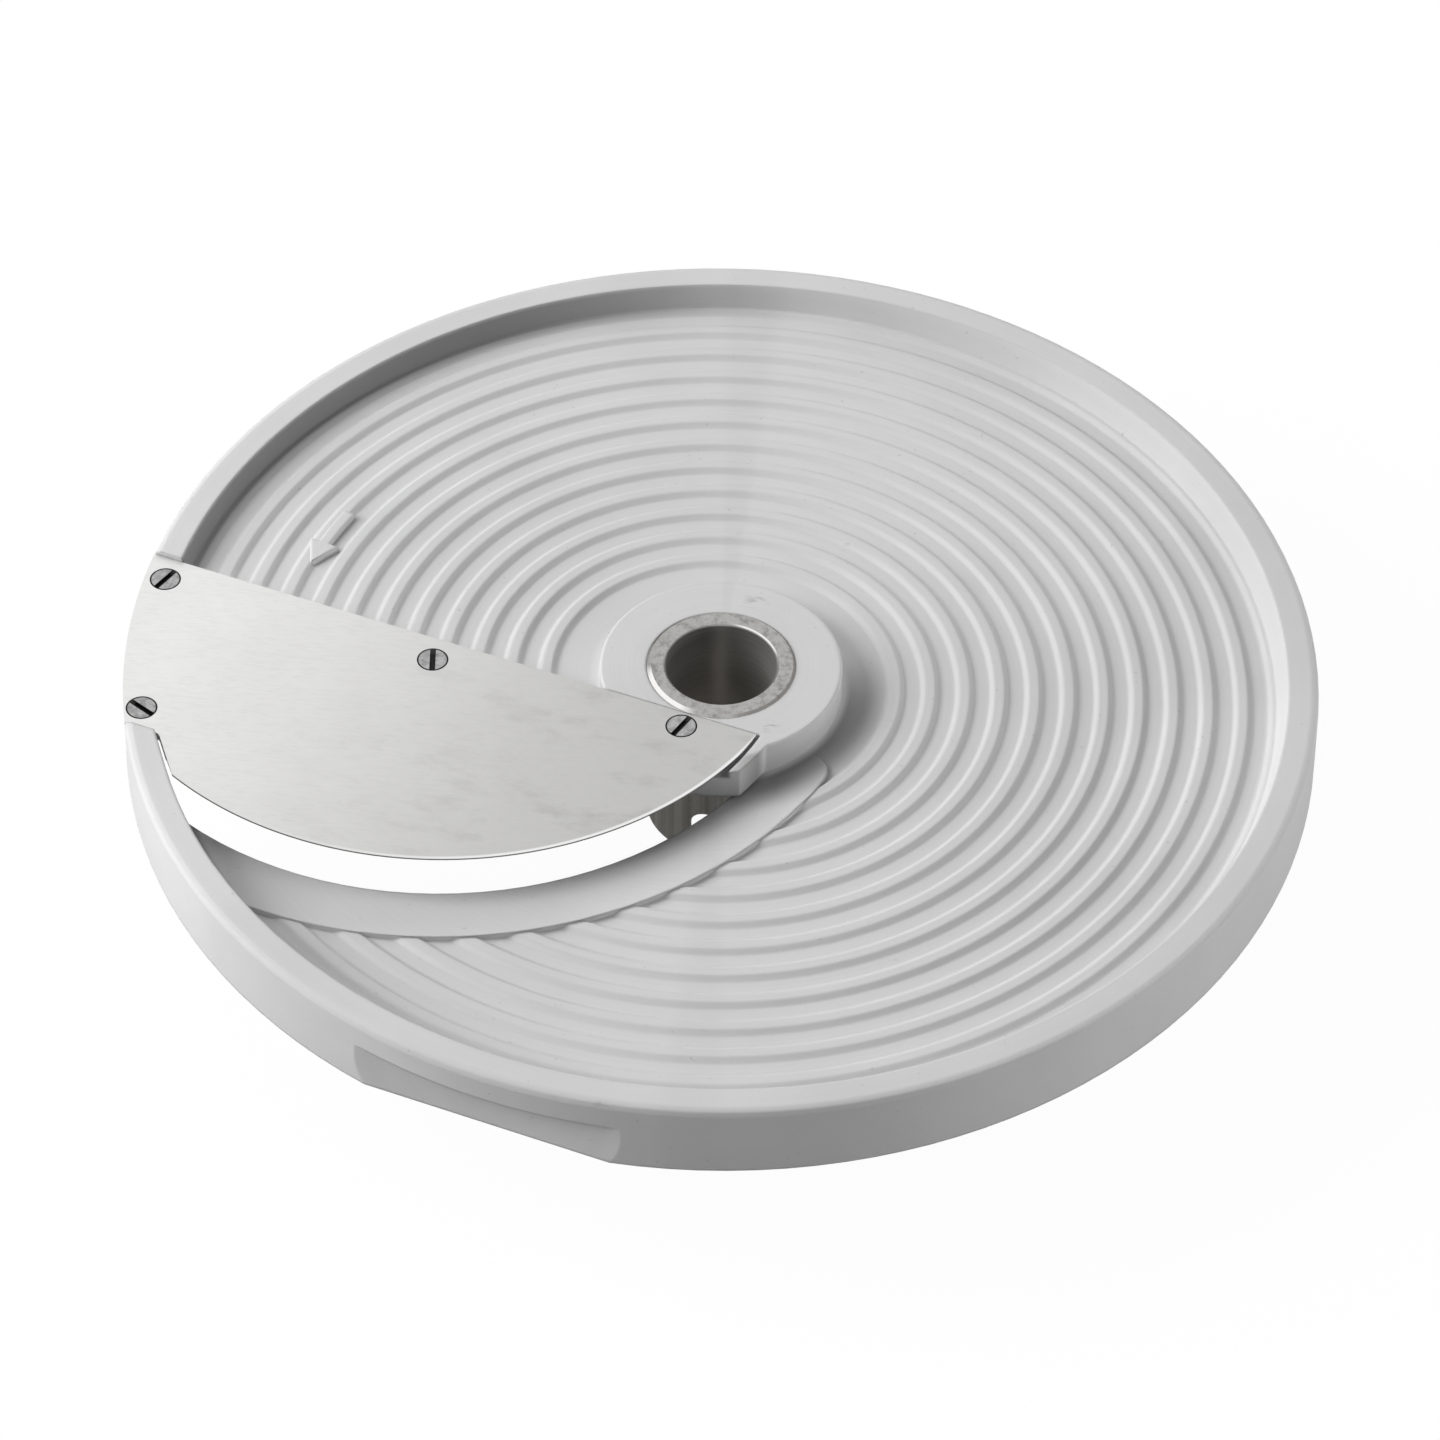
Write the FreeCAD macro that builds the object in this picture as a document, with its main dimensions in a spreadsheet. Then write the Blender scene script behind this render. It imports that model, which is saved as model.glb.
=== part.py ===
import FreeCAD, Part
import math
import os
import re
import Sketcher

# Slicing disc: a cast disc with a spiral ridged face, a steel hub, a bolted blade and its screws.
# The blade's straight back edge lies along X. Z is the shaft's axis, and z = 0 is the hub's lower end.
doc = FreeCAD.newDocument("slicing_disc")
sheet = doc.addObject("Spreadsheet::Sheet", "Sizes")

SIZES = {
    # rim
    "disc_radius": 102.9,
    "base_flare": 0.2,
    "rim_height": 14.0,
    "rim_width": 5.25,
    "rim_wall_slope": 3.6,
    "rim_skirt_width": 5.5,
    "rim_edge": 1.2,
    "rim_edge_step": 0.35,
    # steel hub
    "hub_drop": 21.0,
    "bore_radius": 9.6,
    "hub_wall": 3.25,
    "hub_proud": 0.4,
    "hub_chamfer": 0.4,
    "hub_fit": 0.05,
    "collar_width": 3.65,
    "collar_thickness": 3.0,
    "drive_slot_width": 9.8,
    "drive_slot_depth": 10.0,
    "drive_slot_round": 2.4,
    "drive_slot_angle": 22.0,
    # boss around the hub, and its tail under the blade's tip
    "boss_wall": 8.1,
    "boss_height": 13.1,
    "boss_foot": 2.0,
    "boss_edge": 0.3,
    "tail_reach": 4.65,
    "tail_edge_gap": 2.3,
    # spiral face, with its level taken at the start of a turn
    "face_level": 7.6,
    "face_pitch": 4.5,
    "face_start": -140.6,
    "face_turn": 359.2,
    "face_foot": 2.9,
    "ridge_pitch": 6.0,
    "ridge_height": 0.7,
    "ridge_crest": 1.7,
    "ridge_flank": 0.9,
    "ridge_rim_gap": 3.2,
    "ridge_boss_gap": 7.0,
    # cutting edge: an arc that runs out past the rim and past the shaft axis
    "edge_past_rim": 11.45,
    "edge_hub_gap": 0.7,
    "arc_y": -1.75,
    # ramp in front of the cutting edge
    "lip_gap": 0.95,
    "ramp_width": 11.3,
    "ramp_step": 0.6,
    "ramp_drop": 1.6,
    "ramp_thickness": 3.6,
    "ramp_end_y": -8.8,
    "ramp_end_round": 4.5,
    # blade and the seat that it lies in
    "blade_thickness": 1.5,
    "blade_hub_gap": 0.25,
    "blade_foot_rise": 8.1,
    "blade_side_gap": 0.8,
    "blade_corner": 1.5,
    "blade_tip_round": 44.0,
    "blade_tip_turn": 12.0,
    "bevel_width": 4.0,
    "bevel_edge": 0.15,
    "bevel_runout": 4.2,
    "seat_clearance": 0.15,
    "seat_edge_gap": 0.15,
    "seat_edge_turn": 3.8,
    "land_width": 12.9,
    "land_thickness": 4.5,
    # countersunk screws
    "screw_head": 5.05,
    "screw_head_edge": 0.1,
    "screw_shank": 3.0,
    "screw_length": 5.8,
    "screw_slot": 1.0,
    "screw_slot_depth": 0.7,
    "screw_clearance": 0.1,
    "screw_line": 4.95,
    "screw_rim_inset": 3.7,
    "screw_mid_x": -46.4,
    "screw_foot_inset": 4.4,
    "screw_foot_rim_inset": 3.1,
    "screw_hub_x": -0.7,
    "screw_hub_inset": 3.1,
    # finger recess cut across the foot of the rim
    "recess_top_depth": 2.85,
    "recess_foot_depth": 2.35,
    "recess_round": 44.0,
    "recess_height": 8.4,
}
for row, (name, size) in enumerate(SIZES.items(), start=1):
    sheet.set(f"A{row}", name)
    sheet.set(f"B{row}", str(size))
    sheet.setAlias(f"B{row}", name)
doc.recompute()


def cells(text):
    """Spell a formula over the size names as an expression over the sheet."""
    return re.sub(r"[a-z_]+", lambda m: "Sizes." + m.group() if m.group() in SIZES else m.group(), text)


def number(text):
    """Work a formula out from the sheet."""
    return float(sheet.evalExpression(cells(text)))


def bind(thing, **formulas):
    """Tie properties of a thing to formulas over the sheet."""
    for name, text in formulas.items():
        thing.setExpression(name, cells(text))


def new_body(label):
    body = doc.addObject("PartDesign::Body", label)
    body.Label = label
    return body


def new_sketch(body, name, role, height="0", turn="0", centre=("0", "0")):
    """A sketch on one of the body's own planes: level ones are lifted, upright ones turned about Z."""
    sketch = body.newObject("Sketcher::SketchObject", name)
    plane = next(part for part in body.Origin.OriginFeatures if part.Role == role)
    sketch.AttachmentSupport = [(plane, "")]
    sketch.MapMode = "FlatFace"
    if role == "XY_Plane":
        sketch.setExpression("AttachmentOffset.Base.z", cells(height))
        return sketch
    upright = FreeCAD.Rotation(FreeCAD.Vector(0, 1, 0), 1)
    sketch.AttachmentOffset = FreeCAD.Placement(FreeCAD.Vector(0, 0, 0), upright)
    sketch.setExpression("AttachmentOffset.Base.x", cells(centre[0]))
    sketch.setExpression("AttachmentOffset.Base.y", cells(height))
    sketch.setExpression("AttachmentOffset.Base.z", cells(f"-({centre[1]})"))
    sketch.setExpression("AttachmentOffset.Rotation.Angle", cells(turn))
    return sketch


def pin(sketch, kind, edge, end, text):
    """Hold one point of a sketch at a distance from its origin."""
    size = number(text)
    if abs(size) < 1e-7:
        axis = -2 if kind == "DistanceX" else -1
        sketch.addConstraint(Sketcher.Constraint("PointOnObject", edge, end, axis))
        return
    at = sketch.addConstraint(Sketcher.Constraint(kind, -1, 1, edge, end, size))
    sketch.setExpression(f"Constraints[{at}]", cells(text))


def outline(sketch, corners):
    """Draw a closed outline. A corner is (x, y), or (x, y, radius) where an arc leaves it.

    A radius that starts with a minus sign turns clockwise. No arc is longer than half a circle.
    """
    spots = [FreeCAD.Vector(number(corner[0]), number(corner[1]), 0) for corner in corners]
    ends = []
    for corner, here, there in zip(corners, spots, spots[1:] + spots[:1]):
        if len(corner) == 2:
            edge = sketch.addGeometry(Part.LineSegment(here, there), False)
            ends.append((edge, 1, 2))
            continue
        radius = number(corner[2])
        chord = there - here
        left = FreeCAD.Vector(-chord.y, chord.x, 0).normalize()
        middle = (here + there) * 0.5
        rise = math.sqrt(max(radius**2 - (chord.Length / 2) ** 2, 0))
        centre = middle + left * math.copysign(rise, radius)
        crown = centre - left * radius
        edge = sketch.addGeometry(Part.Arc(here, crown, there), False)
        forward = (sketch.getPoint(edge, 1) - here).Length < (sketch.getPoint(edge, 2) - here).Length
        ends.append((edge, 1, 2) if forward else (edge, 2, 1))
        at = sketch.addConstraint(Sketcher.Constraint("Radius", edge, abs(radius)))
        sketch.setExpression(f"Constraints[{at}]", cells(f"abs({corner[2]})"))
    for (edge, start, end), (after, first, last) in zip(ends, ends[1:] + ends[:1]):
        sketch.addConstraint(Sketcher.Constraint("Coincident", edge, end, after, first))
    for corner, (edge, start, end) in zip(corners, ends):
        pin(sketch, "DistanceX", edge, start, corner[0])
        pin(sketch, "DistanceY", edge, start, corner[1])


def circle(sketch, x, y, radius):
    """Draw a full circle with its centre and radius tied to the sheet."""
    spot = FreeCAD.Vector(number(x), number(y), 0)
    edge = sketch.addGeometry(Part.Circle(spot, FreeCAD.Vector(0, 0, 1), number(radius)), False)
    at = sketch.addConstraint(Sketcher.Constraint("Radius", edge, number(radius)))
    sketch.setExpression(f"Constraints[{at}]", cells(radius))
    pin(sketch, "DistanceX", edge, 3, x)
    pin(sketch, "DistanceY", edge, 3, y)


def feature(body, kind, name, sketch, through=False, **formulas):
    """Add a feature made from a sketch, check that it changed the solid, and give it back.

    A feature that goes through cuts everything on both sides of its sketch.
    """
    before = body.Shape.Volume if body.Tip and not body.Shape.isNull() else 0.0
    made = body.newObject(f"PartDesign::{kind}", name)
    made.Profile = sketch
    if kind in ("Revolution", "Groove", "AdditiveHelix"):
        made.ReferenceAxis = (sketch, ["V_Axis"])
    if kind in ("Revolution", "Groove"):
        made.Angle = 360
    if through:
        made.Type = "ThroughAll"
        made.Midplane = True
    bind(made, **formulas)
    doc.recompute()
    removes = kind in ("Pocket", "Groove", "Hole")
    change = made.Shape.Volume - before
    if (change >= -1e-3) if removes else (change <= 1e-3):
        made.Reversed = not made.Reversed
        doc.recompute()
        change = made.Shape.Volume - before
    if (change >= -1e-3) if removes else (change <= 1e-3):
        raise RuntimeError(f"{name} changed nothing")
    return made


# Levels above the hub's lower end, and radii round the shaft axis
BOSS_TOP = "(hub_drop + boss_height)"
SEAT = f"({BOSS_TOP} - blade_thickness)"
LAND_FOOT = f"({SEAT} - land_thickness)"
HUB_RADIUS = "(bore_radius + hub_wall)"
BOSS_RADIUS = f"({HUB_RADIUS} + boss_wall)"
COLLAR_RADIUS = f"({HUB_RADIUS} + collar_width)"
TAIL_RADIUS = f"({BOSS_RADIUS} + tail_reach)"
BLADE_BACK = f"({HUB_RADIUS} + blade_hub_gap)"
RIM_INSIDE = "(disc_radius - rim_width)"
RIM_MIDDLE = f"({RIM_INSIDE} + rim_width / 2)"
BLADE_INSIDE = f"({RIM_INSIDE} - blade_side_gap)"

# The cutting edge's arc runs from its left to its right past the rim and the hub. Its centre lies at
# (ARC_X, arc_y), at a distance ARC_OUT from the shaft axis
EDGE_RIGHT = f"({HUB_RADIUS} + edge_hub_gap)"
EDGE_LEFT = "(disc_radius + edge_past_rim)"
CUT_RADIUS = f"(({EDGE_LEFT} + {EDGE_RIGHT}) / 2)"
ARC_X = f"(({EDGE_RIGHT} - {EDGE_LEFT}) / 2)"
ARC_OUT = f"sqrt({ARC_X}^2 + arc_y^2)"
LIP_RADIUS = f"({CUT_RADIUS} + lip_gap)"
RAMP_RADIUS = f"({LIP_RADIUS} + ramp_width)"


def crossing(axis_radius, arc_radius):
    """Where a circle round the shaft axis crosses one round the cutting arc's centre, on the food's side."""
    along = f"(({axis_radius}^2 - {arc_radius}^2 + {ARC_OUT}^2) / (2 * {ARC_OUT}))"
    across = f"sqrt({axis_radius}^2 - {along}^2)"
    x = f"(({along} * {ARC_X} - {across} * arc_y) / {ARC_OUT})"
    y = f"(({along} * arc_y + {across} * {ARC_X}) / {ARC_OUT})"
    return x, y


def bearing(spot):
    """The angle of a spot seen from the cutting arc's centre, in degrees."""
    x, y = spot
    return f"(atan2({y} - arc_y; {x} - {ARC_X}) / 1deg)"


def arc_spot(radius, y):
    """The right-hand spot at a level y on a circle round the cutting arc's centre."""
    return f"({ARC_X} + sqrt({radius}^2 - ({y} - arc_y)^2))", y


EDGE_END = crossing(BLADE_INSIDE, CUT_RADIUS)
BLADE_FOOT = f"({EDGE_END[1]} + blade_foot_rise)"
RAMP_START = bearing(crossing(RIM_MIDDLE, LIP_RADIUS))


def face_section():
    """Section of the ridged face as (radius, level) corners, from inside the boss out into the rim."""
    start = f"(({COLLAR_RADIUS} + {BOSS_RADIUS}) / 2)"
    last = f"({RIM_INSIDE} - ridge_rim_gap)"
    ridges = math.floor(number(f"({last} - {BOSS_RADIUS} - ridge_boss_gap) / ridge_pitch"))
    corners = [(start, "0")]
    for ridge in range(ridges, 0, -1):
        foot = f"{last} - {ridge} * ridge_pitch"
        corners.append((foot, "0"))
        corners.append((f"{foot} + ridge_flank", "ridge_height"))
        corners.append((f"{foot} + ridge_flank + ridge_crest", "ridge_height"))
        corners.append((f"{foot} + 2 * ridge_flank + ridge_crest", "0"))
    corners.append((last, "0"))
    corners.append((f"{last} + ridge_flank", "ridge_height"))
    corners.append((RIM_INSIDE, "ridge_height"))
    corners.append((RIM_INSIDE, "-face_level - face_pitch"))
    corners.append((start, "-face_level - face_pitch"))
    return corners


def side_line(radius, y):
    """The spot at a level y on the straight line that touches a circle at the blade's side."""
    x, height = crossing(radius, CUT_RADIUS)
    return f"({x} - ({y} - {height}) * {height} / {x})", y


def ramp_corners():
    """The plan of the ramp's end, rounded off beside the boss, from its outer arc to its back."""
    round_y = "(ramp_end_y - ramp_end_round - arc_y)"
    round_x = f"sqrt(({RAMP_RADIUS} - ramp_end_round)^2 - {round_y}^2)"
    share = f"{RAMP_RADIUS} / ({RAMP_RADIUS} - ramp_end_round)"
    return [
        (f"{ARC_X} + {round_x} * {share}", f"arc_y + {round_y} * {share}", "ramp_end_round"),
        (f"{ARC_X} + {round_x}", "ramp_end_y"),
        ("bore_radius", "ramp_end_y"),
        ("bore_radius", f"-{BLADE_BACK}"),
    ]


def ramp_plan():
    """Plan of the ramp, from the middle of the rim's wall to its rounded end."""
    return [
        (f"-sqrt({RIM_MIDDLE}^2 - {BLADE_BACK}^2)", f"-{BLADE_BACK}", RIM_MIDDLE),
        (*crossing(RIM_MIDDLE, RAMP_RADIUS), RAMP_RADIUS),
        *ramp_corners(),
    ]


def relief_plan():
    """Plan of the opening for ramp and slot. A straight cut clears the blade's side from the rim."""
    return [
        (f"-sqrt({RIM_INSIDE}^2 - {BLADE_BACK}^2)", f"-{BLADE_BACK}", RIM_INSIDE),
        (f"-sqrt({RIM_INSIDE}^2 - {BLADE_FOOT}^2)", BLADE_FOOT),
        side_line(RIM_INSIDE, BLADE_FOOT),
        (*crossing(RIM_INSIDE, CUT_RADIUS), RIM_INSIDE),
        (*crossing(RIM_INSIDE, RAMP_RADIUS), RAMP_RADIUS),
        *ramp_corners(),
    ]


def blade_side(gap, edge):
    """Corners of the blade's plan along its outer arc, foot and straight side, to an edge of a radius."""
    outer = f"(disc_radius + {gap})"
    foot = f"({BLADE_FOOT} - {gap})"
    corner, _ = side_line(BLADE_INSIDE, foot)
    end_x, end_y = crossing(BLADE_INSIDE, edge)
    trim = f"(blade_corner * ({BLADE_INSIDE} + {end_y}) / (-{end_x}))"
    back = f"(-{BLADE_BACK} + {gap})"
    return [
        (f"-sqrt({outer}^2 - {back}^2)", back, outer),
        (f"-sqrt({outer}^2 - {foot}^2)", foot),
        (f"{corner} - {trim}", foot, "-blade_corner"),
        side_line(BLADE_INSIDE, f"({foot} + {trim} * {end_x} / {BLADE_INSIDE})"),
    ]


def blade_plan():
    """Plan of the blade. Its edge is rounded back a little towards the tip."""
    turn = f"({bearing(arc_spot(CUT_RADIUS, f'-{BLADE_BACK}'))} - blade_tip_turn)"
    ahead = f"({CUT_RADIUS} - blade_tip_round)"
    middle_x = f"({ARC_X} + {ahead} * cos({turn} * 1deg))"
    middle_y = f"(arc_y + {ahead} * sin({turn} * 1deg))"
    return [
        *blade_side("0", CUT_RADIUS),
        (*EDGE_END, CUT_RADIUS),
        (f"{ARC_X} + {CUT_RADIUS} * cos({turn} * 1deg)", f"arc_y + {CUT_RADIUS} * sin({turn} * 1deg)",
         "blade_tip_round"),
        (f"{middle_x} + sqrt(blade_tip_round^2 - ({BLADE_BACK} + {middle_y})^2)", f"-{BLADE_BACK}"),
    ]


def seat_plan():
    """Plan of the blade's seat: the blade with clearances, and a gap that opens away from its tip."""
    edge = f"({CUT_RADIUS} + seat_edge_gap)"
    return [
        *blade_side("seat_clearance", edge),
        (*crossing(BLADE_INSIDE, edge), f"({edge} - seat_edge_turn)"),
        arc_spot(edge, f"(-{BLADE_BACK} + seat_clearance)"),
    ]


def rim_spot(inset, y):
    """The spot at a level y that lies an inset inside the blade's outer arc."""
    return f"(-sqrt((disc_radius - {inset})^2 - {y}^2))", y


SCREWS = [
    rim_spot("screw_rim_inset", f"(-{BLADE_BACK} - screw_line)"),
    ("screw_mid_x", f"(-{BLADE_BACK} - screw_line)"),
    rim_spot("screw_foot_rim_inset", f"({BLADE_FOOT} + screw_foot_inset)"),
    ("screw_hub_x", f"(-{BLADE_BACK} - screw_hub_inset)"),
]
# How each screw's slot was left when it was driven home, in degrees from the blade's back edge
SLOT_TURNS = ("76", "112", "-18", "78")


def make_ramp():
    """The smooth ramp that lifts food to the edge: a sloped band that climbs round the arc's centre."""
    body = new_body("ramp")
    level = f"hub_drop + face_level + ramp_step + face_pitch * {RAMP_START} / 360"
    section = new_sketch(body, "ramp_section", "XZ_Plane", level, RAMP_START, (ARC_X, "arc_y"))
    outline(section, [
        (LIP_RADIUS, "-ramp_drop"),
        (RAMP_RADIUS, "0"),
        (RAMP_RADIUS, "-ramp_thickness"),
        (LIP_RADIUS, "-ramp_thickness - ramp_drop / 2"),
    ])
    end = bearing(arc_spot(RAMP_RADIUS, "ramp_end_y"))
    feature(body, "AdditiveHelix", "ramp_band", section,
            Pitch="face_pitch", Height=f"face_pitch * ({end} - {RAMP_START}) / 360")
    keep = new_sketch(body, "ramp_trim", "XY_Plane")
    outline(keep, ramp_plan())
    circle(keep, "0", "0", f"disc_radius + {RAMP_RADIUS}")
    feature(body, "Pocket", "ramp_rounded_end", keep, through=True)
    return body


def make_disc(ramp):
    """The casting: spiral ridged face over a turned underside, rim, boss, blade seat and ramp."""
    body = new_body("disc_body")
    level = "hub_drop + face_level + face_pitch * face_start / 360"
    section = new_sketch(body, "face_section", "XZ_Plane", level, "face_start")
    outline(section, face_section())
    feature(body, "AdditiveHelix", "ridged_face", section,
            Pitch="face_pitch", Height="face_pitch * face_turn / 360")
    under = new_sketch(body, "underside_section", "XZ_Plane", "hub_drop")
    outline(under, [
        ("bore_radius", "face_foot"),
        (RIM_MIDDLE, "face_foot"),
        (RIM_MIDDLE, "-2 * face_pitch"),
        ("bore_radius", "-2 * face_pitch"),
    ])
    feature(body, "Groove", "turned_underside", under)

    rim = new_sketch(body, "rim_section", "XZ_Plane", "hub_drop")
    outline(rim, [
        ("disc_radius + base_flare", "0"),
        ("disc_radius", "rim_height - rim_edge"),
        ("disc_radius - rim_edge_step", "rim_height - rim_edge_step"),
        ("disc_radius - rim_edge", "rim_height"),
        (RIM_INSIDE, "rim_height"),
        (f"{RIM_INSIDE} - rim_wall_slope", "face_foot"),
        ("disc_radius - rim_skirt_width", "0"),
    ])
    feature(body, "Revolution", "rim", rim)
    relief = new_sketch(body, "relief_plan", "XY_Plane")
    outline(relief, relief_plan())
    feature(body, "Pocket", "relief", relief, through=True)

    boss = new_sketch(body, "boss_section", "XZ_Plane", "hub_drop")
    outline(boss, [
        ("bore_radius", "boss_foot"),
        (BOSS_RADIUS, "boss_foot"),
        (BOSS_RADIUS, "boss_height - boss_edge"),
        (f"{BOSS_RADIUS} - boss_edge", "boss_height"),
        ("bore_radius", "boss_height"),
    ])
    feature(body, "Revolution", "boss", boss)

    land = new_sketch(body, "land_plan", "XY_Plane", LAND_FOOT)
    front = f"({BLADE_BACK} + land_width)"
    outline(land, [
        ("0", f"-{BLADE_BACK}"),
        (f"-sqrt({RIM_MIDDLE}^2 - {BLADE_BACK}^2)", f"-{BLADE_BACK}", RIM_MIDDLE),
        (f"-sqrt({RIM_MIDDLE}^2 - {front}^2)", f"-{front}"),
        ("0", f"-{front}"),
    ])
    feature(body, "Pad", "blade_land", land, Length="land_thickness")

    tail = new_sketch(body, "tail_plan", "XY_Plane", LAND_FOOT)
    fence = f"({CUT_RADIUS} + tail_edge_gap)"
    outline(tail, [
        ("-bore_radius", f"-{BLADE_BACK}"),
        ("-bore_radius", f"-sqrt({TAIL_RADIUS}^2 - bore_radius^2)", TAIL_RADIUS),
        (*crossing(TAIL_RADIUS, fence), fence),
        arc_spot(fence, f"-{BLADE_BACK}"),
    ])
    feature(body, "Pad", "boss_tail", tail, Length=f"{BOSS_TOP} - {LAND_FOOT}")

    joined = body.newObject("PartDesign::Boolean", "ramp_joined")
    joined.Type = "Fuse"
    joined.setObjects([ramp])
    doc.recompute()

    seat = new_sketch(body, "seat_plan", "XY_Plane", SEAT)
    outline(seat, seat_plan())
    pocket = feature(body, "Pocket", "blade_seat", seat, Length="rim_height")
    pocket.Reversed = True
    doc.recompute()

    bore = new_sketch(body, "hub_bore_plan", "XY_Plane")
    circle(bore, "0", "0", f"{HUB_RADIUS} + hub_fit")
    feature(body, "Pocket", "hub_bore", bore, through=True)

    holes = new_sketch(body, "screw_holes_plan", "XY_Plane", SEAT)
    for x, y in SCREWS:
        circle(holes, x, y, "(screw_shank + screw_clearance) / 2")
    feature(body, "Pocket", "screw_holes", holes, Length="screw_length - blade_thickness + screw_clearance")

    recess = new_sketch(body, "finger_recess_section", "XZ_Plane", "hub_drop", "-90")
    outer = "disc_radius + base_flare"
    outline(recess, [
        (f"{outer} - recess_foot_depth", "0"),
        (f"{outer} + base_flare", "0"),
        (f"{outer} + base_flare", "recess_height"),
        (f"{outer} - recess_top_depth", "recess_height", "recess_round"),
    ])
    feature(body, "Pocket", "finger_recess", recess, through=True)
    return body


def make_hub():
    """The steel hub: a bored tube with a collar under the boss and a drive slot at its lower end."""
    body = new_body("hub_bush")
    top = f"{BOSS_TOP} + hub_proud"
    section = new_sketch(body, "hub_section", "XZ_Plane")
    collar_top = "hub_drop + boss_foot"
    outline(section, [
        ("bore_radius", "0"),
        (HUB_RADIUS, "0"),
        (HUB_RADIUS, f"{collar_top} - collar_thickness"),
        (COLLAR_RADIUS, f"{collar_top} - collar_thickness"),
        (COLLAR_RADIUS, collar_top),
        (HUB_RADIUS, collar_top),
        (HUB_RADIUS, f"{top} - hub_chamfer"),
        (f"{HUB_RADIUS} - hub_chamfer", top),
        ("bore_radius + hub_chamfer", top),
        ("bore_radius", f"{top} - hub_chamfer"),
    ])
    feature(body, "Revolution", "turned_hub", section)
    slot = new_sketch(body, "drive_slot_shape", "XZ_Plane", "0", "drive_slot_angle")
    outline(slot, [
        ("-drive_slot_width / 2", "0"),
        ("-drive_slot_width / 2", "drive_slot_depth - drive_slot_round", "-drive_slot_round"),
        ("-drive_slot_width / 2 + drive_slot_round", "drive_slot_depth"),
        ("drive_slot_width / 2 - drive_slot_round", "drive_slot_depth", "-drive_slot_round"),
        ("drive_slot_width / 2", "drive_slot_depth - drive_slot_round"),
        ("drive_slot_width / 2", "0"),
    ])
    feature(body, "Pocket", "drive_slot", slot, through=True)
    return body


def make_blade():
    """The blade: a flat plate with a curved edge ground from below and countersunk screw holes."""
    body = new_body("slicing_blade")
    plan = new_sketch(body, "blade_plan", "XY_Plane", SEAT)
    outline(plan, blade_plan())
    feature(body, "Pad", "blade_plate", plan, Length="blade_thickness")

    start = f"({bearing(EDGE_END)} - bevel_runout)"
    grind = new_sketch(body, "bevel_section", "XZ_Plane", SEAT, start, (ARC_X, "arc_y"))
    outline(grind, [
        (f"{CUT_RADIUS} - bevel_width", "0"),
        (CUT_RADIUS, "blade_thickness - bevel_edge"),
        (f"{CUT_RADIUS} + bevel_width", "blade_thickness - bevel_edge"),
        (f"{CUT_RADIUS} + bevel_width", "0"),
    ])
    feature(body, "Groove", "ground_bevel", grind, Angle=f"-{start}")

    hole = new_sketch(body, "countersink_plan", "XY_Plane", BOSS_TOP)
    for x, y in SCREWS:
        circle(hole, x, y, "(screw_shank + screw_clearance) / 2")
    doc.recompute()
    drilled = body.newObject("PartDesign::Hole", "countersunk_holes")
    drilled.Profile = hole
    doc.recompute()
    drilled.ThreadType = "None"
    drilled.DepthType = "ThroughAll"
    drilled.HoleCutType = "Countersink"
    drilled.HoleCutCountersinkAngle = 90
    bind(drilled, Diameter="screw_shank + screw_clearance",
         HoleCutDiameter="screw_head + 2 * screw_head_edge + 2 * screw_clearance")
    doc.recompute()
    return body


def make_screw(number_in_row, x, y, turn):
    """One countersunk screw, in place, with its slot turned as it was left."""
    body = new_body(f"screw_{number_in_row}")
    section = new_sketch(body, f"screw_section_{number_in_row}", "XZ_Plane", BOSS_TOP, "0", (x, y))
    outline(section, [
        ("0", "0"),
        ("0", "-screw_length"),
        ("screw_shank / 2", "-screw_length"),
        ("screw_shank / 2", "-(screw_head - screw_shank) / 2 - screw_head_edge"),
        ("screw_head / 2", "-screw_head_edge"),
        ("screw_head / 2", "0"),
    ])
    feature(body, "Revolution", f"turned_screw_{number_in_row}", section)
    slot = new_sketch(body, f"screw_slot_{number_in_row}", "XZ_Plane", BOSS_TOP, f"{turn} + 90", (x, y))
    outline(slot, [
        ("-screw_slot / 2", "0"),
        ("-screw_slot / 2", "-screw_slot_depth"),
        ("screw_slot / 2", "-screw_slot_depth"),
        ("screw_slot / 2", "0"),
    ])
    feature(body, "Pocket", f"driver_slot_{number_in_row}", slot, through=True)
    return body


disc = make_disc(make_ramp())
hub = make_hub()
blade = make_blade()
screws = doc.addObject("Part::Compound", "blade_screws")
screws.Label = "blade_screws"
screws.Links = [make_screw(i, *spot, turn) for i, (spot, turn) in enumerate(zip(SCREWS, SLOT_TURNS), start=1)]
doc.recompute()

for thing in doc.Objects:
    if "Invalid" in thing.State or "Error" in thing.State:
        raise RuntimeError(f"{thing.Label}: {thing.State}")

os.makedirs("parts", exist_ok=True)
for thing in (disc, hub, blade, screws):
    shape = thing.Shape
    if shape.isNull() or not shape.isValid():
        raise RuntimeError(f"{thing.Label} has no valid shape")
    print(thing.Label, len(shape.Solids), "solids", round(shape.Volume, 1), "mm3", shape.BoundBox)
    shape.exportStep(f"parts/{thing.Label}.step")
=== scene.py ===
import math

import bmesh
import bpy
from mathutils import Matrix, Vector


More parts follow.
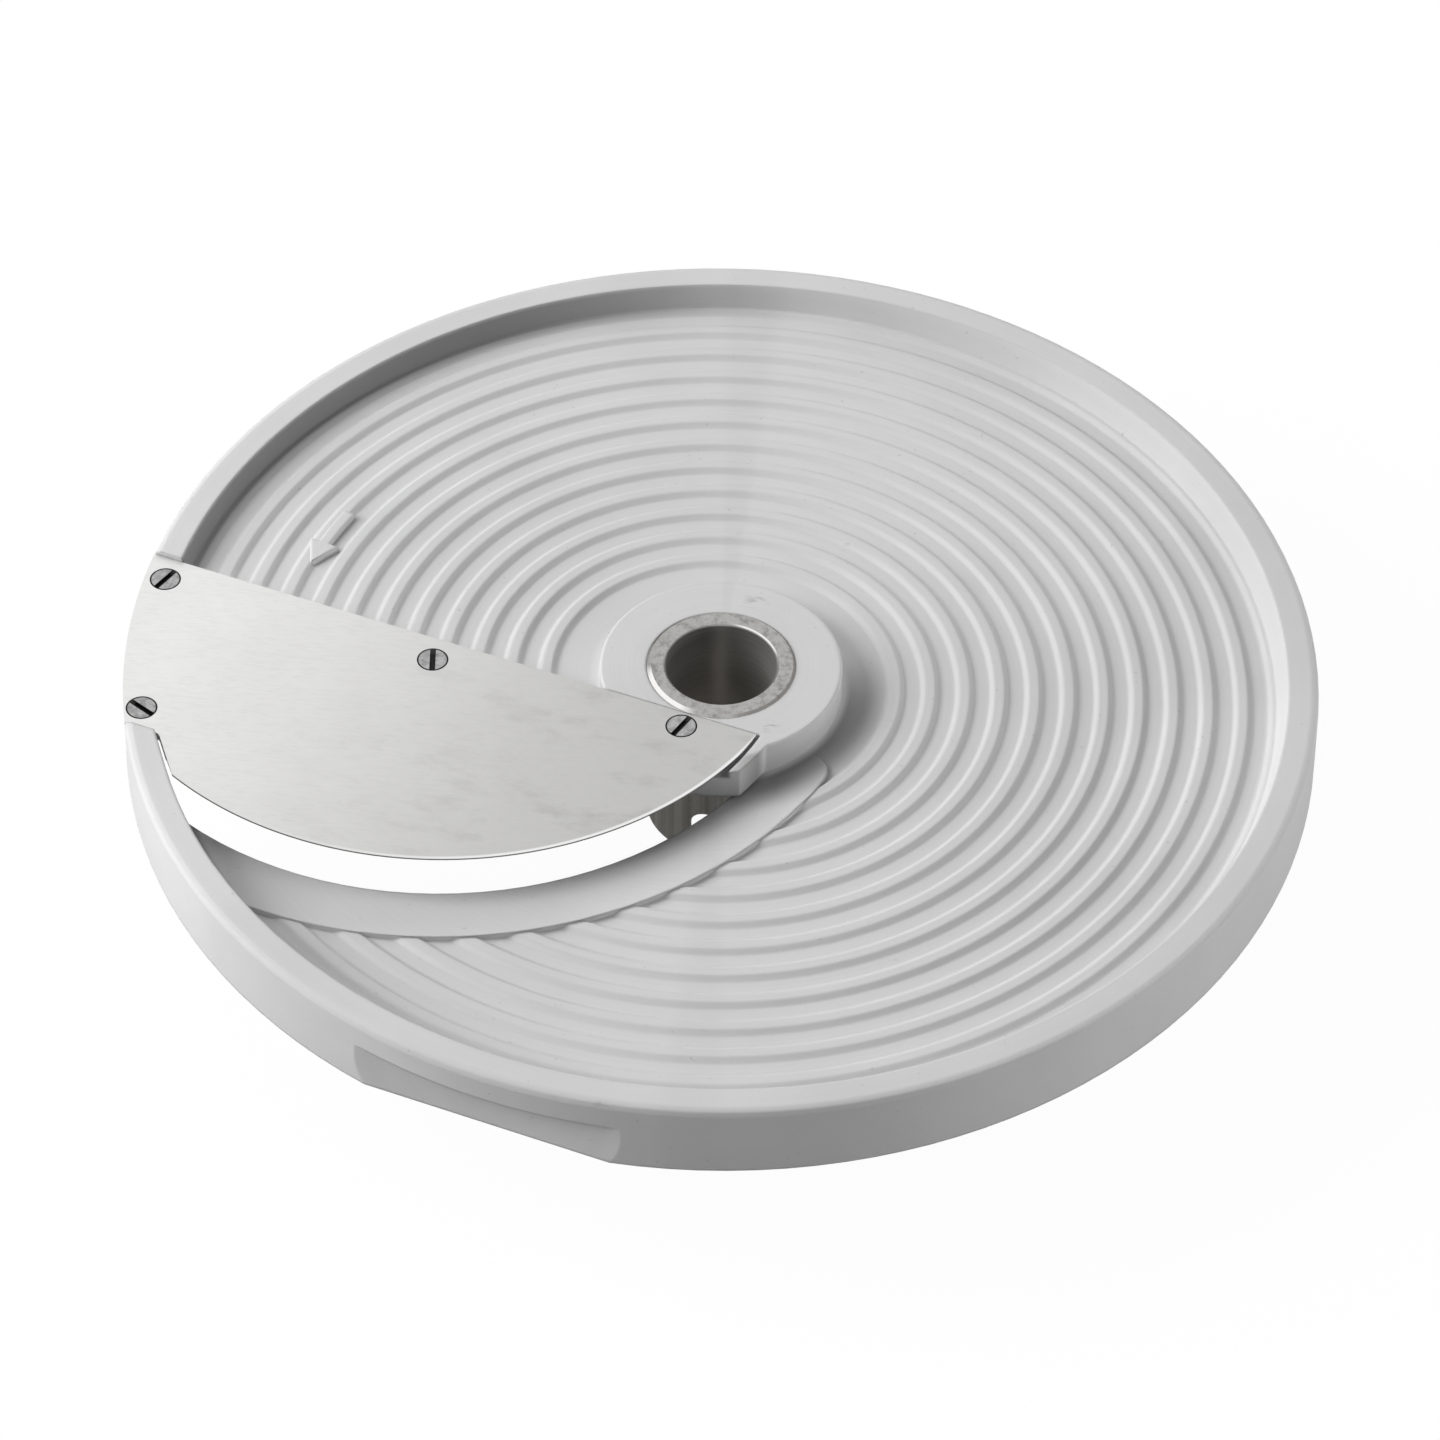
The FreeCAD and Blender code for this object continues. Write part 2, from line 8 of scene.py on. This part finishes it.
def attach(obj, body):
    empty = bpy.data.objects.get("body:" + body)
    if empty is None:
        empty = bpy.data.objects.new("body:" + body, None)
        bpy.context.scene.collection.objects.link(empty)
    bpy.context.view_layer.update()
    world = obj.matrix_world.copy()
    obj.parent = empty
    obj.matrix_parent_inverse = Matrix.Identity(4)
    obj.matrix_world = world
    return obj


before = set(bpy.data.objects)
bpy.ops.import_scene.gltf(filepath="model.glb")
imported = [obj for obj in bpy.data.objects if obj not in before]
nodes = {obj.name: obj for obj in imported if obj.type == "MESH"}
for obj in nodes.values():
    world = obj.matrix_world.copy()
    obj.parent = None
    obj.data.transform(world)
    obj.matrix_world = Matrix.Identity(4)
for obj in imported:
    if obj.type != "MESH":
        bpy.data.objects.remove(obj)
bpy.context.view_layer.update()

# Lengths are in metres. Bearings are in radians about the disc's axis, anticlockwise from the
# x axis as seen from above. The camera's right lies at this bearing.
VIEW_BEARING = math.radians(21.93)

# The rim's inner wall: the radii where it begins and ends, and the bearing where the painted shade
# on it is deepest.
RIM_WALL_BEGINS = (0.0938, 0.0958)
RIM_WALL_ENDS = (0.0974, 0.0978)
RIM_SHADE = math.radians(176)
# The painted shade in the gutter beside the boss, in the same way.
GUTTER_BEGINS = (0.0211, 0.0226)
GUTTER_ENDS = (0.0245, 0.031)
GUTTER_SHADE = math.radians(-16)
# Small knocks on the casting: the place of each, its reach and how dark it is.
KNOCKS = (
    ((0.0208, -0.1017, 0.0350), 0.0022, 0.5),
    ((0.0074, 0.0396, 0.0305), 0.0016, 0.45),
    ((0.0059, -0.0610, 0.0300), 0.0018, 0.5),
    ((0.0301, -0.0583, 0.0300), 0.0018, 0.4),
    ((0.0523, 0.0175, 0.0310), 0.0016, 0.4),
    ((0.0746, -0.0572, 0.0350), 0.0030, 0.5),
    ((0.0780, -0.0522, 0.0350), 0.0026, 0.4),
    ((0.0135, -0.0106, 0.0341), 0.0020, 0.5),
    ((-0.0002, 0.0168, 0.0341), 0.0030, 0.3),
)
# Painted sheen: strips where the casting's face is darkened, standing for the reflection of its
# turned face: the bearing of each, its half width and its depth.
SHEEN_STRIPS = ((1.9, 0.08, 0.07), (-1.227, 0.08, 0.05))
# How far the casting's corners are rounded over.
CASTING_CORNER = 0.0008

# The middles of the screws' heads, the radius of the gap round each, and where a head darkens
# towards its edge and, by painted shade, down into its slot.
SCREW_HEADS = (
    (-0.09754, -0.01805, 0.0341),
    (-0.08749, -0.04802, 0.0341),
    (-0.04640, -0.01805, 0.0341),
    (-0.00070, -0.01620, 0.0341),
)
SCREW_GAP = (0.0027, 0.00276)
HEAD_EDGE = (0.00238, 0.00248)
SLOT_MOUTH = (0.0337, 0.03395)
# The blade's cutting edge is part of this circle, at its top face.
EDGE_CENTRE = (-0.0504, -0.00175, 0.0341)
EDGE_RADIUS = 0.06395
# How far inside that circle the honed band and the dark burr begin.
HONED_BAND = (0.0009, 0.0005)
BURR = (0.00022, 0.00012)
# The blade darkens more and more between these places on the x axis, towards the hub: painted
# shade, with smears of wear where it is darkest.
SHADE_AND_WEAR = (-0.1, 0.004)
# The way the strokes on the blade and the scrapes on the casting run, as a bearing.
GRAIN = math.radians(14)

# The hub: the radii where its bore ends and its outside begins, and where the painted glint at the
# one ends and the painted glint and painted shade at the other begin.
BORE_ENDS = (0.00965, 0.0099)
OUTSIDE_BEGINS = (0.0122, 0.0126)
INNER_GLINT_ENDS = (0.00995, 0.01005)
OUTER_GLINT_BEGINS = (0.01205, 0.01215)
OUTER_SHADE_BEGINS = (0.01235, 0.0125)
# The levels where its outside ends, where the painted light at the foot of its bore ends, and where
# the painted shade at the bore's mouth begins.
OUTSIDE_ENDS = (0.031, 0.033)
BORE_LIGHT_ENDS = (0.014, 0.024)
BORE_SHADE_BEGINS = (0.024, 0.0345)
# The bearings of the bore's painted sheen and of the two painted glints, and where the painted
# outer shade begins.
BORE_SHEEN = 1.97
INNER_GLINT = 1.17
OUTER_GLINT = -2.15
OUTER_SHADE = (-1.15, -0.75)

# White for the world and the floor; the hub's steels for its painted glints, its painted light, and
# its dark spots with painted shade.
WHITE = (1, 1, 1, 1)
GLINT_STEEL = (0.97, 0.96, 0.94)
LIT_STEEL = (0.95, 0.92, 0.87)
SPOTS_AND_SHADE_STEEL = (0.2, 0.19, 0.175)

# The camera: how far it rises and rolls, what it looks at, its distance and its lens.
CAMERA_RISE = math.radians(45.49)
CAMERA_ROLL = math.radians(0.66)
CAMERA_TARGET = Vector((0.000045, -0.000381, 0.021))
CAMERA_DISTANCE = 1.1
CAMERA_LENS = 158.175
CAMERA_SENSOR = 36
# The soft lamps: degrees round from the camera's right, degrees up, height and power in watts.
LAMPS = {
    "left_softbox": (180, 35, 0.7, 15),
    "left_low_softbox": (180, 12, 0.7, 8),
    "back_high_softbox": (120, 60, 0.7, 3.5),
    "back_softbox": (90, 25, 0.7, 3.2),
    "right_softbox": (350, 35, 0.7, 3.4),
    "right_low_softbox": (350, 4, 0.4, 9),
}
LAMP_DISTANCE = 1.3
LAMP_WIDTH = 1.0
LAMP_TARGET = Vector((0, 0, 0.03))
# How strongly the world lights what isn't shown its white.
WORLD_STRENGTH = 0.02
# The floor: its own grey, how brightly it glows to the camera and how much of that covers it.
FLOOR_GREY = 0.5
FLOOR_GLOW = 1.04
FLOOR_COVER = 0.93


class Value:
    """A number that varies over a surface. Sums and products of these add their own Math nodes."""

    def __init__(self, tree, socket):
        self.tree = tree
        self.socket = socket

    def maths(self, operation, *values):
        return self.tree.node("Math", {"operation": operation}, dict(enumerate(values))).value(0)

    def __add__(self, other):
        return self.maths("ADD", self, other)

    __radd__ = __add__

    def __sub__(self, other):
        return self.maths("SUBTRACT", self, other)

    def __rsub__(self, other):
        return self.maths("SUBTRACT", other, self)

    def __mul__(self, other):
        return self.maths("MULTIPLY", self, other)

    __rmul__ = __mul__

    def __pow__(self, other):
        return self.maths("POWER", self, other)


class Made:
    """A shader node that has been set up, read by the number or name of its outputs."""

    def __init__(self, tree, node):
        self.tree = tree
        self.node = node

    def value(self, output):
        return Value(self.tree, self.link(output))

    def link(self, output):
        return self.node.outputs[output]


class Tree:
    """A node tree, whose nodes all come from one method."""

    def __init__(self, node_tree, output):
        self.node_tree = node_tree
        node_tree.nodes.clear()
        self.output = self.node(output, {}, {}).node

    def node(self, kind, settings, sockets):
        """Add a node, make its settings, then give values or links to its sockets."""
        node = self.node_tree.nodes.new("ShaderNode" + kind)
        for name, setting in settings.items():
            setattr(node, name, setting)
        for name, given in sockets.items():
            if isinstance(given, Value):
                given = given.socket
            if isinstance(given, bpy.types.NodeSocket):
                self.node_tree.links.new(given, node.inputs[name])
            else:
                node.inputs[name].default_value = given
        return Made(self, node)

    def show(self, shader):
        """Give a shader to the tree's output."""
        self.node_tree.links.new(shader, self.output.inputs["Surface"])


class Finish(Tree):
    """A material and the nodes that paint it."""

    def __init__(self, name):
        self.material = bpy.data.materials.new(name)
        self.material.use_nodes = True
        super().__init__(self.material.node_tree, "OutputMaterial")
        self.place = self.node("TexCoord", {}, {}).link("Object")
        split = self.node("SeparateXYZ", {}, {"Vector": self.place})
        self.x, self.y, self.z = (split.value(axis) for axis in "XYZ")

    def radius(self):
        """The distance from the disc's axis."""
        return (self.x * self.x + self.y * self.y) ** 0.5

    def bearing(self):
        """The angle about the disc's axis, from -pi to pi."""
        return self.y.maths("ARCTAN2", self.y, self.x)

    def towards(self, bearing):
        """The cosine of the angle from a bearing, and 0 where it would be below 0."""
        turned = self.bearing() - bearing
        cosine = turned.maths("COSINE", turned)
        return cosine.maths("MAXIMUM", cosine, 0)

    def facing(self, bearing, low, high):
        """1 towards a bearing and 0 away from it, by the cosine of the angle between."""
        return self.between(self.towards(bearing), low, high)

    def along(self, value):
        """A place that changes with one value alone, for marks that follow it."""
        return self.node("CombineXYZ", {}, {"X": value}).link("Vector")

    def noise(self, scale, detail, roughness=0.5, drawn_out=1, turn=0, place=None):
        """Noise of about 0 to 1, which can be drawn out along a turned X axis."""
        place = place or self.place
        if drawn_out != 1:
            place = self.node("Mapping", {"vector_type": "TEXTURE"}, {
                "Vector": place, "Rotation": (0, 0, turn), "Scale": (drawn_out, 1, 1),
            }).link("Vector")
        return self.node("TexNoise", {}, {
            "Vector": place, "Scale": scale, "Detail": detail, "Roughness": roughness,
        }).value("Fac")

    def away(self, spot):
        """The distance from a spot."""
        sockets = {0: self.place, 1: spot}
        return self.node("VectorMath", {"operation": "DISTANCE"}, sockets).value("Value")

    def near(self, spot, reach):
        """1 at a spot and round it, falling to 0 at its reach."""
        return self.below(self.away(spot), reach * 0.3, reach)

    def between(self, value, low, high):
        """0 up to low, 1 from high, with a soft rise between."""
        return self.node("MapRange", {"interpolation_type": "SMOOTHSTEP", "clamp": True}, {
            "Value": value, "From Min": low, "From Max": high,
        }).value("Result")

    def below(self, value, low, high):
        """1 up to low, 0 from high, with a soft fall between."""
        return 1 - self.between(value, low, high)

    def blend(self, amount, first, second):
        """Mix two colours. A Mix node has its colours at inputs 6 and 7 and at output 2."""
        first, second = (
            given if isinstance(given, bpy.types.NodeSocket) else (*given, 1)
            for given in (first, second)
        )
        sockets = {0: amount, 6: first, 7: second}
        return self.node("Mix", {"data_type": "RGBA"}, sockets).link(2)

    def bump(self, height, distance, strength, normal=None):
        sockets = {"Height": height, "Distance": distance, "Strength": strength}
        if normal:
            sockets["Normal"] = normal
        return self.node("Bump", {}, sockets).link("Normal")

    def soft_corners(self, radius):
        """The normal of a surface whose corners are rounded over."""
        return self.node("Bevel", {"samples": 8}, {"Radius": radius}).link("Normal")

    def surface(self, **sockets):
        names = {name.replace("_", " "): given for name, given in sockets.items()}
        self.show(self.node("BsdfPrincipled", {}, names).link("BSDF"))
        return self.material


def grey(level):
    return (level, level, level)


def casting_finish():
    """Pale satin metal with faint turned rings, specks and small knocks, painted shade on the rim's
    inner wall and beside the boss, and strips of painted sheen.
    """
    made = Finish("satin_casting")
    radius = made.radius()
    cloud = made.noise(22, 3)
    tone = made.blend(made.between(cloud, 0.3, 0.7), grey(0.6), grey(0.66))

    rings = made.noise(1500, 3, 0.6, place=made.along(radius))
    ring_marks = made.between(rings, 0.35, 0.75) * 0.12
    tone = made.blend(ring_marks, tone, grey(0.42))

    # Painted shade on the rim's inner wall, deepest towards one bearing.
    rim_wall = made.between(radius, *RIM_WALL_BEGINS) * made.below(radius, *RIM_WALL_ENDS)
    rim_shade = rim_wall * made.facing(RIM_SHADE, 0.2, 0.85) * 0.78
    tone = made.blend(rim_shade, tone, grey(0.1))

    # Painted shade in the gutter beside the boss, deepest towards one bearing.
    gutter = made.between(radius, *GUTTER_BEGINS) * made.below(radius, *GUTTER_ENDS)
    gutter_shade = gutter * made.facing(GUTTER_SHADE, 0.5, 0.96) * 0.75
    tone = made.blend(gutter_shade, tone, grey(0.11))

    # Painted sheen: strips darkened by bearing, standing for the reflection of the turned face.
    patches = made.between(cloud, 0.2, 0.6)
    for middle, half_width, depth in SHEEN_STRIPS:
        band = made.facing(middle, math.cos(half_width), 1) ** 2
        tone = made.blend(band * depth * patches, tone, grey(0.2))

    specks = made.between(made.noise(900, 3), 0.7, 0.76) * 0.3
    tone = made.blend(specks, tone, grey(0.25))

    scrapes = made.between(made.noise(1100, 4, 0.65, drawn_out=4, turn=GRAIN), 0.47, 0.62)
    for spot, reach, depth in KNOCKS:
        tone = made.blend(made.near(spot, reach) * scrapes * depth, tone, grey(0.12))

    grain = made.noise(2600, 2)
    return made.surface(
        Base_Color=tone,
        Metallic=0.0,
        Roughness=made.between(cloud, 0.2, 0.8) * 0.08 + 0.42,
        Normal=made.bump(grain, 0.00004, 0.6, made.soft_corners(CASTING_CORNER)),
    )


def blade_finish():
    """Ground steel, darkened towards the hub by painted shade and smeared with wear there, with a
    honed band and a dark burr at its edge.
    """
    made = Finish("ground_blade")
    clouds = made.between(made.noise(60, 4, 0.6), 0.3, 0.75) * 0.5
    tone = made.blend(clouds, (0.86, 0.857, 0.852), (0.8, 0.796, 0.79))

    # Painted shade: darker towards the hub, where the light falls off.
    shade_and_wear = made.between(made.x, *SHADE_AND_WEAR)
    tone = made.blend(shade_and_wear * 0.72, tone, (0.46, 0.456, 0.448))

    smears = made.between(made.noise(170, 5, 0.65, drawn_out=2, turn=GRAIN), 0.48, 0.72) * 0.35
    tone = made.blend(shade_and_wear ** 2 * smears, tone, (0.34, 0.333, 0.32))

    strokes = made.noise(2100, 3, 0.6, drawn_out=5, turn=GRAIN)
    tone = made.blend(made.between(strokes, 0.4, 0.8) * 0.13, tone, grey(0.42))

    for spot in SCREW_HEADS:
        tone = made.blend(made.below(made.away(spot), *SCREW_GAP), tone, grey(0.05))

    from_edge = made.away(EDGE_CENTRE)
    honed = made.between(from_edge, *(EDGE_RADIUS - inside for inside in HONED_BAND)) * 0.8
    tone = made.blend(honed * made.between(made.x, -0.07, -0.01), tone, grey(0.95))
    burr = made.between(from_edge, *(EDGE_RADIUS - inside for inside in BURR)) * 0.85
    tone = made.blend(burr, tone, grey(0.06))

    fine = made.noise(3600, 2, 0.5, drawn_out=6, turn=GRAIN)
    return made.surface(
        Base_Color=tone,
        Metallic=1.0,
        Roughness=fine * 0.12 + 0.46,
        Normal=made.bump(strokes + fine, 0.00001, 0.5),
    )


def hub_finish():
    """Turned steel: a mottled top with painted glints and painted shade at its corners, a dark bore
    with a painted sheen, painted light at its foot and painted shade at its mouth, and a worn
    outside.
    """
    made = Finish("turned_hub")
    radius = made.radius()
    bearing = made.bearing()
    mottle = made.noise(650, 5, 0.7)
    spots = made.noise(2300, 3, 0.6)

    top = made.blend(made.between(mottle, 0.42, 0.72), (0.44, 0.435, 0.427), (0.255, 0.246, 0.232))
    top = made.blend(made.between(spots, 0.55, 0.72) * 0.5, top, SPOTS_AND_SHADE_STEEL)
    shaded = made.between(radius, *OUTER_SHADE_BEGINS) * made.between(bearing, *OUTER_SHADE) * 0.8
    top = made.blend(shaded, top, SPOTS_AND_SHADE_STEEL)
    outer_glint = made.between(radius, *OUTER_GLINT_BEGINS) * made.facing(OUTER_GLINT, 0.8, 0.95)
    inner_glint = made.below(radius, *INNER_GLINT_ENDS) * made.facing(INNER_GLINT, 0.8, 0.95)
    glints = outer_glint.maths("MAXIMUM", outer_glint, inner_glint) * 0.95
    top = made.blend(glints, top, GLINT_STEEL)

    turned = made.noise(1700, 3, 0.6, place=made.along(made.z))
    bore = made.blend(made.between(turned, 0.3, 0.7), (0.33, 0.318, 0.301), (0.21, 0.202, 0.19))
    to_sheen = made.towards(BORE_SHEEN)
    sheen = to_sheen ** 80 * 0.6 + to_sheen ** 10 * 0.25
    bore = made.blend(sheen, bore, LIT_STEEL)
    bore = made.blend(made.below(made.z, *BORE_LIGHT_ENDS) * 0.6, bore, LIT_STEEL)
    bore = made.blend(made.between(made.z, *BORE_SHADE_BEGINS) * 0.7, bore, (0.1, 0.098, 0.094))

    drawn = made.noise(7, 4, 0.65, place=made.along(bearing))
    outside = made.blend(made.between(drawn, 0.35, 0.65), (0.78, 0.76, 0.71), (0.5, 0.48, 0.44))
    outside = made.blend(made.between(spots, 0.6, 0.7) * 0.3, outside, grey(0.12))

    in_bore = made.below(radius, *BORE_ENDS)
    on_outside = made.between(radius, *OUTSIDE_BEGINS) * made.below(made.z, *OUTSIDE_ENDS)
    return made.surface(
        Base_Color=made.blend(on_outside, made.blend(in_bore, top, bore), outside),
        Metallic=1 - in_bore * 0.8 - on_outside * 0.7,
        Roughness=mottle * 0.2 + 0.26 + in_bore * 0.12,
        Normal=made.bump(mottle + turned * in_bore, 0.00002, 0.3),
    )


def screw_finish():
    """Dull steel that darkens at the edge of each head, and with painted shade in its slot."""
    made = Finish("screw_steel")
    cloud = made.noise(700, 3)
    tone = made.blend(made.between(cloud, 0.35, 0.7), grey(0.48), grey(0.34))
    spots = made.between(made.noise(2300, 2), 0.45, 0.7) * 0.5
    tone = made.blend(spots, tone, grey(0.18))

    from_middle = made.away(SCREW_HEADS[0])
    for spot in SCREW_HEADS[1:]:
        from_middle = from_middle.maths("MINIMUM", from_middle, made.away(spot))
    tone = made.blend(made.between(from_middle, *HEAD_EDGE) * 0.85, tone, grey(0.03))
    # Painted shade down in each head's slot.
    tone = made.blend(made.below(made.z, *SLOT_MOUTH), tone, grey(0.025))
    return made.surface(Base_Color=tone, Metallic=1.0, Roughness=cloud * 0.2 + 0.32)


finishes = {
    "disc_body": casting_finish(),
    "hub_bush": hub_finish(),
    "slicing_blade": blade_finish(),
    "blade_screws": screw_finish(),
}
for name, material in finishes.items():
    for slot in nodes[name].material_slots:
        slot.material = material


def new_piece(name, made, material):
    """Turn a bmesh into an object of the scene."""
    mesh = bpy.data.meshes.new(name)
    made.to_mesh(mesh)
    made.free()
    mesh.materials.append(material)
    piece = bpy.data.objects.new(name, mesh)
    bpy.context.scene.collection.objects.link(piece)
    return piece


def turning_arrow():
    """A raised arrow in the casting that points the way the disc turns."""
    middle_radius = 0.077
    half_width = 0.0011
    low, high = 0.0296, 0.03195
    start = math.radians(171)
    shaft = math.radians(6.5)
    shaft_steps = 6
    shoulder = math.radians(0.02)
    head = math.radians(4.2)
    head_spread = 2.6
    tip_spread = 0.06
    corner = 0.00035
    sharp = 0.6
    made = bmesh.new()

    def swing(verts, turn):
        turned = Matrix.Rotation(turn, 3, "Z")
        bmesh.ops.rotate(made, verts=verts, cent=(0, 0, 0), matrix=turned)

    def carry_on(face, turn):
        """Draw the arrow's end face onwards about the disc's axis."""
        inside = len(made.faces) > 1
        grown = bmesh.ops.extrude_face_region(made, geom=[face])["geom"]
        if inside and face.is_valid:
            bmesh.ops.delete(made, geom=[face], context="FACES_ONLY")
        swing([item for item in grown if isinstance(item, bmesh.types.BMVert)], turn)
        return [item for item in grown if isinstance(item, bmesh.types.BMFace)][0]

    def spread(face, times):
        """Widen a face across the arrow."""
        middle = face.calc_center_median()
        across = Vector((middle.x, middle.y, 0)).normalized()
        for vert in face.verts:
            vert.co += across * ((vert.co - middle).dot(across) * (times - 1))

    end = made.faces.new([
        made.verts.new((middle_radius + side * half_width, 0, height))
        for side, height in ((-1, low), (1, low), (1, high), (-1, high))
    ])
    swing(made.verts, start)
    for _ in range(shaft_steps):
        end = carry_on(end, shaft / shaft_steps)
    end = carry_on(end, shoulder)
    spread(end, head_spread)
    end = carry_on(end, head)
    spread(end, tip_spread)
    bmesh.ops.recalc_face_normals(made, faces=made.faces)
    top_corners = [
        edge for edge in made.edges
        if min(vert.co.z for vert in edge.verts) > high - 1e-5
        and len(edge.link_faces) == 2 and edge.calc_face_angle(0) > sharp
    ]
    bmesh.ops.bevel(
        made, geom=top_corners, offset=corner, segments=3, affect="EDGES", profile=0.5, material=-1,
    )
    piece = new_piece("turning_arrow", made, finishes["disc_body"])
    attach(piece, "root")


def camera():
    """The photograph's view, from above the front of the disc."""
    level = Vector((math.cos(VIEW_BEARING), math.sin(VIEW_BEARING), 0))
    front = Vector((level.y, -level.x, 0))
    back = front * math.cos(CAMERA_RISE) + Vector((0, 0, math.sin(CAMERA_RISE)))
    over = back.cross(level)
    right = math.cos(CAMERA_ROLL) * level + math.sin(CAMERA_ROLL) * over
    up = -math.sin(CAMERA_ROLL) * level + math.cos(CAMERA_ROLL) * over
    data = bpy.data.cameras.new("camera")
    data.lens = CAMERA_LENS
    data.sensor_width = CAMERA_SENSOR
    data.clip_end = 20
    seen = bpy.data.objects.new("camera", data)
    bpy.context.scene.collection.objects.link(seen)
    turn = Matrix((right, up, back)).transposed().to_4x4()
    seen.matrix_world = Matrix.Translation(CAMERA_TARGET + CAMERA_DISTANCE * back) @ turn
    bpy.context.scene.camera = seen


def softbox(name, azimuth, rise, height, power):
    """A wide lamp that faces the disc. Metal shows the white world, so it doesn't show the lamp."""
    data = bpy.data.lights.new(name, "AREA")
    data.shape = "RECTANGLE"
    data.size = LAMP_WIDTH
    data.size_y = height
    data.energy = power
    lamp = bpy.data.objects.new(name, data)
    bpy.context.scene.collection.objects.link(lamp)
    around = VIEW_BEARING + math.radians(azimuth)
    up = math.radians(rise)
    side = Vector((math.cos(around) * math.cos(up), math.sin(around) * math.cos(up), math.sin(up)))
    lamp.location = side * LAMP_DISTANCE + LAMP_TARGET
    lamp.rotation_euler = side.to_track_quat("Z", "Y").to_euler()
    lamp.visible_glossy = False


def studio():
    """Soft lamps in a world that is white where the camera, metal or glass shows it."""
    world = bpy.data.worlds.new("studio")
    bpy.context.scene.world = world
    world.use_nodes = True
    made = Tree(world.node_tree, "OutputWorld")
    path = made.node("LightPath", {}, {})
    shown = path.value("Is Camera Ray")
    for ray in ("Is Transmission Ray", "Is Glossy Ray"):
        shown = shown.maths("MAXIMUM", shown, path.value(ray))
    faint, white = (
        made.node("Background", {}, {"Color": WHITE, "Strength": strength}).link("Background")
        for strength in (WORLD_STRENGTH, 1)
    )
    made.show(made.node("MixShader", {}, {0: shown, 1: faint, 2: white}).link("Shader"))
    for name, lamp in LAMPS.items():
        softbox(name, *lamp)


def floor():
    """A pale floor, which the camera sees as white with a soft shadow."""
    paint = Finish("pale_floor")
    shown = paint.node("LightPath", {}, {}).value("Is Camera Ray") * FLOOR_COVER
    matt = paint.node("BsdfDiffuse", {}, {"Color": (*grey(FLOOR_GREY), 1)}).link("BSDF")
    glow = paint.node("Emission", {}, {"Color": WHITE, "Strength": FLOOR_GLOW}).link("Emission")
    paint.show(paint.node("MixShader", {}, {0: shown, 1: matt, 2: glow}).link("Shader"))
    made = bmesh.new()
    bmesh.ops.create_grid(made, x_segments=1, y_segments=1, size=3)
    piece = new_piece("floor", made, paint.material)


turning_arrow()
camera()
studio()
floor()
bpy.context.scene.view_settings.view_transform = "Standard"
